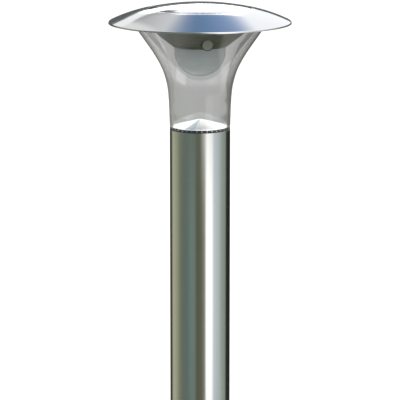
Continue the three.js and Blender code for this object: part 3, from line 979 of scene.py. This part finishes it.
def base_plate():
    plate = soft([
        (28, 2.1), (58.2, 2.1), (58.2, -1.2), (60, -1.2), (60, 1.5), (62.5, 1.45), (62.8, 1.75),
        (64.2, 1.7), (64.5, 1.25), (69.6, 0.9), (69.6, 2.2), (61, 3.6), (28, 3.6),
    ], 0.25)
    bosses = rods(HOUSING_SCREWS, 3, 3.2, 8, 0.3)
    bores = rods(HOUSING_SCREWS + TRAY_SCREWS, 1.55, 0, 9)
    return cut(joined(plate, *bosses), *bores)


def housing_radius(z):
    widening = HOUSING_MOUTH_RADIUS - HOUSING_NECK_RADIUS
    return HOUSING_NECK_RADIUS + (z - HOUSING_BOTTOM) * widening / (HOUSING_LOW - HOUSING_BOTTOM)


def light_housing():
    """Funnel with shallow turned steps outside, which catch the light as fine level lines."""
    bore, flange = 21.1, 51.2
    lip = HOUSING_BOTTOM + 1.8
    steps = 12
    pitch = (HOUSING_LOW - HOUSING_BOTTOM - 1.6) / steps
    outside = []
    for i in range(steps):
        for share, depth in ((0, 0), (0.86, 0), (0.9, 0.16), (0.97, 0.16)):
            z = HOUSING_BOTTOM + 1.0 + pitch * (i + share)
            outside.append((housing_radius(z) - depth, z))
    funnel = turned(rounded([
        (bore, HOUSING_BOTTOM), (HOUSING_NECK_RADIUS, HOUSING_BOTTOM), *outside,
        (HOUSING_MOUTH_RADIUS, HOUSING_LOW), (flange, HOUSING_LOW), (flange, HOUSING_HIGH),
        (HOUSING_MOUTH_RADIUS - HOUSING_WALL + 1, HOUSING_HIGH),
        (housing_radius(lip) - HOUSING_WALL, lip), (bore, lip),
    ], 0.3, least_turn=40))
    switch_hole = moved(rod(5.3, -34, -18), turn(-90, "X"), shift(z=SWITCH_Z))
    return cut(funnel, *rods(HOUSING_SCREWS, 1.55, -1, 3), switch_hole)


def level_oblong(reach, half, z):
    """One end of a screw's slot."""
    return [(-reach, -half, z), (reach, -half, z), (reach, half, z), (-reach, half, z)]


def screw(head_radius, head_height, shank_radius, shank_length):
    """Pan-head screw pointing up, with a cross recess and a rolled thread."""
    pitch = 0.9
    thread = []
    height = 0.6
    while height < shank_length - 1.6:
        thread += [(shank_radius * 0.86, height), (shank_radius, height + pitch / 2)]
        height += pitch
    angles = [math.radians(a) for a in range(0, 91, 10)]
    dome = [(head_radius * math.sin(a), -head_height * (0.35 + 0.65 * math.cos(a))) for a in angles]
    body = turned([
        *dome, (head_radius, -0.08), (head_radius - 0.08, 0), (shank_radius * 0.9, 0), *thread,
        (shank_radius * 0.8, shank_length - 0.9), (0, shank_length),
    ], SMALL)
    mouth = level_oblong(head_radius * 0.58, 0.32, -head_height - 0.5)
    end = level_oblong(head_radius * 0.58 * 0.45, 0.2, -head_height * 0.42)
    slots = [moved(lofted([mouth, end]), turn(90 * i, "Z")) for i in range(2)]
    return cut(body, *slots)


def diffuser_bowl():
    wall = 1.4
    band = BOWL_BAND
    radius = BOWL_RADIUS
    shoulder = HOUSING_BOTTOM - GAP
    return soft([
        *arc(0, band, radius, -90, 0, 40), (radius, shoulder), (20.8, shoulder), (20.8, -16.3),
        (21.3, -15.9), (20.8, -13.8), (19.6, -13.8), (19.6, band),
        *arc(0, band, radius - wall, -8, -90, 32),
    ], 0.25)


def led_lamp():
    """5 mm lamp: round tip, straight body and a flange."""
    tip = -35.6
    radius = 2.5
    return turned([
        *arc(0, tip + radius, radius, -90, 0, 16), (radius, -28.7), (radius + 0.1, -28.6),
        (2.85, -28.6), (2.9, -28.5), (2.9, -27.4), (2.8, -27.3), (0, -27.3),
    ], SMALL)


def along_cell(bm):
    return moved(bm, turn(90, "Y"), shift(z=CELL_AXIS_Z))


def battery_cradle():
    trough = block((-28.9, -8.4, -10.3), (28.9, 8.4, -1), 0.4)
    seat = along_cell(rod(7.4, -27.6, 27.6, sides=CELL_SIDES))
    feet = [
        block((x - 1.2, y - 1.2, BOARD_TOP + GAP), (x + 1.2, y + 1.2, -10))
        for x in (-14, 14)
        for y in (-6, 6)
    ]
    return cut(joined(trough, *feet), seat)


def battery_cell():
    back, front, radius = -23.2, 25.6, 7.1
    return along_cell(soft([
        (0, back), (4.5, back), (4.6, back + 0.25), (radius, back + 0.25), (radius, front),
        (4.2, front), (4.1, front - 0.2), (2.7, front - 0.2), (2.7, front + 1.3), (0, front + 1.3),
    ], 0.45, CELL_SIDES))


def battery_spring():
    """Coil that presses on the cell's flat end."""
    return along_cell(tube(coil(3.2, -26.9, -23.9), 0.35))


def led_board():
    return rod(20.4, BOARD_TOP - 1.4, BOARD_TOP, 0.15, FINE)


def led_spacer():
    return rod(3.2, -27, BOARD_TOP - 1.7, 0.3)


def storage_capacitor():
    """Upright can with a groove near its foot."""
    radius, foot = 2.6, BOARD_TOP + 0.3
    can = soft([
        (0, foot), (radius, foot), (radius, foot + 1.1), (radius - 0.25, foot + 1.4),
        (radius, foot + 1.7), (radius, foot + 7), (0, foot + 7),
    ], 0.3, SMALL)
    return moved(can, shift(9, 13))


def facing_front(bm):
    return moved(bm, turn(90, "X"), shift(z=SWITCH_Z))


def switch_bezel():
    return facing_front(soft([
        (4.4, 22.1), (5, 22.1), (5, 28.9), (4.8, 29.3), (4.6, 29.3), (4.4, 28.9),
    ], 0.12, MEDIUM))


def switch_button():
    """Cup with upright grip ribs on its face."""
    face = -SWITCH_FACE_Y - 0.5
    cup = soft([
        (0, face), (SWITCH_RADIUS, face), (SWITCH_RADIUS, 26.6), (3, 26.6), (3, 28.9), (0, 28.9),
    ], 0.35, MEDIUM)
    ribs = []
    for i in range(-2, 3):
        x = 1.2 * i
        reach = math.sqrt((SWITCH_RADIUS - 0.7) ** 2 - x**2)
        ribs.append(block((x - 0.3, -reach, face - 0.3), (x + 0.3, reach, face + 0.5), 0.12))
    return facing_front(joined(cup, *ribs))


SPRING_FOOT, SPRING_END = 25.5, 28.4  # distances from the axis, under the button


def switch_spring():
    return facing_front(tube(coil(2.3, SPRING_FOOT, SPRING_END), 0.25))


BOARD_LEAD = BOARD_TOP + 0.4  # height of a lead's end, on the board
LEAD_ROUTES = {
    "panel": [
        (-1.2, 16, 7.7), (-1.2, 16.2, 4.6), (-2.4, 15.8, -2), (-1.6, 15.4, -8),
        (-1.2, 15.4, BOARD_LEAD),
    ],
    "battery": [
        (25, -10, -4), (21, -12, -3.4), (15, -13.5, -5.6), (11, -12.6, -9.4),
        (10.4, -12.2, BOARD_LEAD),
    ],
}


def leads():
    """Red leads along their routes, and black leads that mirror them."""
    for start, route in LEAD_ROUTES.items():
        for color, side in (("red", 1), ("black", -1)):
            points = [(side * x, y, z) for x, y, z in route]
            head_piece(f"{start}_lead_{color}", tube(spline(points), 0.55))


def screws(name, places, step, height, *size):
    """A screw at each place, each turned a step further than the one before."""
    for i, (x, y) in enumerate(places):
        fine = moved(screw(*size), turn(step * i, "Z"), shift(x, y, height))
        head_piece(f"{name}_{i + 1}", fine)


head_piece("lens_seal", lens_seal(), "seal")
head_pieces(cap_dome, panel_tray, panel_seal, solar_cover, solar_board)
solar_strips()
head_pieces(base_plate, light_housing)
screws("housing_screw", HOUSING_SCREWS, 20, 0, 2.4, 1.5, 1.2, 7)
screws("tray_screw", TRAY_SCREWS, 35, 1.8, 2.2, 1.4, 0.85, 5)
head_pieces(diffuser_bowl, battery_cradle, battery_cell, battery_spring)
head_pieces(led_board, led_spacer, led_lamp, storage_capacitor)
leads()
head_pieces(switch_bezel)
spring = head_piece("switch_spring", switch_spring())
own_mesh(spring)
head_piece("switch_button", switch_button(), "button")


# ---------------- studio
# A stop below is an angle to the right of the camera in degrees, and a colour or, for a grey, a number.
# Colours that level reflections meet.
BANDS = [
    (-180, (0.045, 0.045, 0.035)), (-140, (0.06, 0.06, 0.045)), (-126, (0.5, 0.5, 0.4)),
    (-112, (0.45, 0.46, 0.32)), (-98, (0.36, 0.39, 0.25)), (-84, (0.22, 0.25, 0.18)),
    (-70, (0.16, 0.19, 0.15)), (-52, (0.14, 0.19, 0.17)), (-34, (0.19, 0.27, 0.25)),
    (-20, (0.19, 0.25, 0.22)), (-12, (0.11, 0.13, 0.08)), (6, (0.15, 0.15, 0.1)),
    (18, (0.3, 0.3, 0.25)), (25, 1.6), (46, 1.5), (54, (0.75, 0.8, 0.85)),
    (76, (0.55, 0.63, 0.65)), (92, (0.35, 0.41, 0.36)), (112, (0.28, 0.33, 0.28)),
    (122, (0.02, 0.025, 0.02)), (180, (0.03, 0.03, 0.025)),
]
# The same a little above the horizon: a hedge behind, open ground in front.
HEDGE = [
    (-180, (0.1, 0.105, 0.105)), (-165, (0.14, 0.15, 0.15)), (-140, (0.14, 0.15, 0.14)),
    (-110, (0.3, 0.32, 0.26)), (-60, (0.17, 0.2, 0.18)), (0, (0.15, 0.17, 0.13)), (30, 1.2),
    (60, (0.6, 0.65, 0.68)), (110, (0.3, 0.34, 0.3)), (150, (0.1, 0.11, 0.11)),
    (180, (0.1, 0.105, 0.105)),
]
# Height of the hedge behind and of the trees in front, as the upward share of the direction.
HEDGE_TOP = [
    (-180, 0.156), (-175, 0.19), (-173.4, 0.215), (-172, 0.25), (-168.5, 0.305), (-150, 0.305),
    (-120, 0.5), (-40, 0.75), (10, 0.75), (30, 0.3), (70, 0.3), (95, 0.5), (130, 0.4),
    (160, 0.12), (168, 0.12), (176, 0.135), (180, 0.156),
]
# Pale sky close above the hedge.
HAZE = [
    (-180, 1.1), (-165, 1.05), (-140, 0.95), (140, 1.1), (172, (1.15, 1.17, 1.2)),
    (180, (1.15, 1.17, 1.2)),
]
# Sky high up on the camera's side, which the dome's edge picks up: bright to the right.
FRONT_SKY = [
    (-180, 0.9), (-120, (0.3, 0.3, 0.28)), (-60, (0.2, 0.2, 0.18)), (-20, (0.3, 0.34, 0.38)),
    (5, (0.5, 0.58, 0.7)), (20, 1.4), (60, 1.5), (90, 0.4), (180, 0.9),
]
# The ground below the light: dark, with paler ground on the left behind it and more on the right.
GROUND = [
    (-180, (0.12, 0.12, 0.1)), (-160, (0.15, 0.15, 0.13)), (-146, 0.6), (-112, 0.6),
    (-98, (0.12, 0.12, 0.1)), (78, (0.1, 0.1, 0.085)), (88, (1.4, 1.38, 1.35)),
    (104, (1.2, 1.18, 1.15)), (118, (0.35, 0.35, 0.34)), (150, (0.4, 0.4, 0.38)),
    (168, (0.12, 0.12, 0.1)), (180, (0.12, 0.12, 0.1)),
]
# What shows through the clear pieces: pale straight behind, darker where the wall bends the ray.
BACKDROP = [
    (-180, 0.5), (-165, (0.5, 0.5, 0.495)), (-157, (0.44, 0.44, 0.425)), (-148, (0.5, 0.5, 0.48)),
    (-130, (0.55, 0.55, 0.52)), (-60, (0.25, 0.25, 0.22)), (0, (0.2, 0.2, 0.18)),
    (60, (0.3, 0.3, 0.29)), (110, (0.25, 0.26, 0.25)), (135, (0.14, 0.145, 0.14)),
    (148, (0.18, 0.185, 0.18)), (156, (0.5, 0.52, 0.52)), (164, (0.5, 0.51, 0.51)), (171, 0.48),
    (180, 0.5),
]
# Sky higher up behind the light, by a share from left to right: cloud, a blue patch, cloud.
SKY = [
    (0.2, 0.55), (0.28, 0.62), (0.38, (0.72, 0.74, 0.77)), (0.415, (0.47, 0.52, 0.6)),
    (0.45, (0.26, 0.335, 0.49)), (0.483, (0.16, 0.26, 0.435)), (0.52, (0.165, 0.275, 0.465)),
    (0.585, (0.24, 0.355, 0.57)), (0.62, (0.305, 0.42, 0.63)), (0.657, (0.46, 0.565, 0.755)),
    (0.7, (0.8, 0.85, 0.97)), (0.75, (1.13, 1.14, 1.18)),
]
CAMERA_AZIMUTH = -12.1
CAMERA_ELEVATION = 10.83
CAMERA_LENS = 234.5
CAMERA_DISTANCE = 2.17
CAMERA_AIM = 0.36983  # height on the post's axis at the middle of the picture


class Surroundings(Nodes):
    """The world's nodes, with each ray's direction taken apart as the camera faces."""

    def __init__(self, world):
        world.use_nodes = True
        world.node_tree.nodes.clear()
        super().__init__(world.node_tree, "Generated")
        facing = self.node(
            "ShaderNodeVectorRotate",
            {"Vector": self.place, "Angle": math.radians(-CAMERA_AZIMUTH)},
            rotation_type="Z_AXIS",
        ).outputs["Vector"]
        parts = self.node("ShaderNodeSeparateXYZ", {"Vector": facing})
        self.across = parts.outputs["X"]
        self.height = parts.outputs["Z"]
        backwards = self.times(parts.outputs["Y"], -1.0)
        azimuth = self.math("ARCTAN2", self.across, backwards)
        self.share = self.math("MULTIPLY_ADD", azimuth, 1 / (2 * math.pi), 0.5)
        self.behind = self.rise(backwards, 0.05, -0.05)

    def rise(self, value, start, end):
        """From 0 to 1 as the value goes from start to end, softly."""
        made = self.node(
            "ShaderNodeMapRange", {"Value": value, "From Min": start, "From Max": end},
            interpolation_type="SMOOTHSTEP",
        )
        return made.outputs["Result"]

    def box(self, value, low, high, soft):
        """1 where the value is between low and high, with soft edges."""
        leave = self.math("SUBTRACT", 1.0, self.rise(value, high - soft, high + soft))
        return self.times(self.rise(value, low - soft, low + soft), leave)

    def around(self, stops):
        """Colours by the ray's angle to the right of the camera."""
        return self.ramp(self.share, [(at / 360 + 0.5, color) for at, color in stops])


def garden(rays):
    """Everything below the sky: ground, level bands and the hedge, with a bright patch on the left."""
    level = rays.blend(rays.rise(rays.height, -0.1, 0.0), rays.around(BANDS), rays.around(HEDGE))
    patch = rays.times(
        rays.box(rays.share, 0.24, 0.35, 0.01), rays.box(rays.height, -0.74, -0.52, 0.03)
    )
    ground = rays.blend(patch, rays.around(GROUND), (2.8, 2.82, 2.85))
    return rays.blend(rays.rise(rays.height, -0.4, -0.28), ground, level)


def low_sky(rays):
    """Haze over the hedge. Behind the light it has a bright opening, a grey cloud and a roof."""
    right_limit = rays.math("MULTIPLY_ADD", rays.height, 0.108, 0.058)
    beyond_right = rays.rise(rays.math("SUBTRACT", rays.across, right_limit), -0.008, 0.008)
    within_right = rays.math("SUBTRACT", 1.0, beyond_right)
    within_left = rays.rise(rays.across, -0.125, -0.09)
    bright = rays.blend(rays.rise(rays.height, 0.3, 0.48), (2.6, 2.62, 2.65), (1.7, 1.72, 1.75))
    opening = rays.times(within_left, within_right, rays.behind)
    haze = rays.blend(opening, rays.around(HAZE), bright)
    cloud_foot = rays.math("MAXIMUM", rays.math("MULTIPLY_ADD", rays.across, -1.1, 0.221), 0.32)
    over_foot = rays.math("SUBTRACT", rays.height, cloud_foot)
    shade = rays.blend(rays.rise(over_foot, 0.0, 0.16), (0.37, 0.375, 0.38), (0.68, 0.69, 0.7))
    left_of_axis = rays.rise(rays.across, -0.045, -0.07)
    cloud = rays.times(rays.rise(over_foot, -0.006, 0.012), left_of_axis, rays.behind)
    haze = rays.blend(cloud, haze, shade)
    roof = rays.times(
        rays.box(rays.height, 0.352, 0.376, 0.007),
        rays.box(rays.across, -0.075, -0.038, 0.01),
        rays.behind,
    )
    return rays.blend(roof, haze, 0.12)


def high_sky(rays):
    """Cloud and a blue patch behind the light, and the sky on the camera's side."""
    spread = rays.math("MULTIPLY_ADD", rays.height, -2.5, 3.0)
    slant = rays.math("DIVIDE", rays.across, rays.math("MAXIMUM", rays.height, 0.1))
    sideways = rays.math("MULTIPLY_ADD", rays.times(slant, spread), 0.5, 0.5)
    far_left = rays.times(rays.rise(rays.across, -0.19, -0.25), 0.85)
    back = rays.blend(far_left, rays.ramp(sideways, SKY), 0.93)
    return rays.blend(rays.behind, rays.around(FRONT_SKY), back)


def seen_through(rays):
    """What rays meet after a clear piece: a grey backdrop, a bright path low down, white above."""
    path = rays.times(
        rays.box(rays.share, 0.025, 0.16, 0.01), rays.box(rays.height, -0.8, -0.7, 0.02)
    )
    below = rays.blend(path, rays.around(BACKDROP), (5.5, 5.55, 5.6))
    # Darker planting behind, right and left, where the flare of the lens bends rays down or level.
    on_right = rays.rise(rays.across, 0.005, 0.015)
    on_left = rays.times(rays.rise(rays.across, -0.007, -0.013), 0.5)
    bent = rays.math(
        "MAXIMUM", rays.box(rays.height, -0.9, -0.161, 0.004),
        rays.box(rays.height, -0.12, -0.002, 0.002),
    )
    planting = rays.times(bent, rays.math("MAXIMUM", on_right, on_left), rays.behind)
    below = rays.blend(planting, below, (0.22, 0.22, 0.205))
    return rays.blend(rays.rise(rays.height, 0.0, 0.2), below, 2.0)


def studio():
    """World light: even and pale for soft light, with a garden and a sky for the reflections."""
    world = bpy.data.worlds.new("studio")
    bpy.context.scene.world = world
    rays = Surroundings(world)
    world.cycles.sampling_method = "NONE"
    hedge_top = rays.red(rays.around(HEDGE_TOP))
    above_hedge = rays.rise(rays.math("SUBTRACT", rays.height, hedge_top), -0.012, 0.012)
    sky = rays.blend(rays.rise(rays.height, 0.45, 0.5), low_sky(rays), high_sky(rays))
    reflected = rays.blend(above_hedge, garden(rays), sky)
    path = rays.node("ShaderNodeLightPath")
    seen = rays.blend(path.outputs["Is Camera Ray"], 1.25, 1.0)
    seen = rays.blend(path.outputs["Is Glossy Ray"], seen, reflected)
    seen = rays.blend(path.outputs["Is Transmission Ray"], seen, seen_through(rays))
    background = rays.node("ShaderNodeBackground", {"Color": seen, "Strength": 1.0})
    output = rays.node("ShaderNodeOutputWorld")
    rays.links.new(background.outputs["Background"], output.inputs["Surface"])


def floor():
    """Wide pale floor at the height of the spike's tip. Only soft light and the camera see it."""
    reach = 30.0
    level = SPIKE_TIP * MM - 0.0005
    sides = ((-1, -1), (1, -1), (1, 1), (-1, 1))
    corners = [(reach * x, reach * y, level) for x, y in sides]
    data = bpy.data.meshes.new("floor")
    data.from_pydata(corners, [], [(0, 1, 2, 3)])
    plane = placed("floor", data)
    look = Look("floor", (0.93, 0.93, 0.925), 0.8, Specular_IOR_Level=0.1)
    look.vary(look.noise(3, detail=4), 0.01)
    data.materials.append(look.material)
    plane.visible_glossy = False
    plane.visible_transmission = False


def aimed(name, data, target, azimuth, elevation, distance):
    """Adds a camera or a light that looks at a height on the post's axis, in metres."""
    thing = placed(name, data)
    a, e = math.radians(azimuth), math.radians(elevation)
    back = Vector((math.sin(a) * math.cos(e), -math.cos(a) * math.cos(e), math.sin(e)))
    thing.location = Vector((0, 0, target)) + back * distance
    thing.rotation_mode = "QUATERNION"
    thing.rotation_quaternion = (-back).to_track_quat("-Z", "Y")
    return thing


def lamp(name, azimuth, elevation, distance, side, power, color):
    """A large soft square light aimed at the head."""
    data = bpy.data.lights.new(name, "AREA")
    data.size = side
    data.energy = power
    data.color = color
    light = aimed(name, data, POST_TOP * MM, azimuth, elevation, distance)
    light.visible_glossy = False


def camera():
    data = bpy.data.cameras.new("camera")
    data.lens = CAMERA_LENS
    data.sensor_width = 36
    data.clip_end = 100
    bpy.context.scene.camera = aimed(
        "camera", data, CAMERA_AIM, CAMERA_AZIMUTH, CAMERA_ELEVATION, CAMERA_DISTANCE
    )


floor()
studio()
lamp("key", 45, 40, 2.2, 1.4, 22, (1.0, 0.99, 0.97))
lamp("fill", -60, 25, 2.6, 1.8, 8, (0.95, 0.97, 1.0))
camera()
bpy.context.scene.view_settings.view_transform = "Standard"
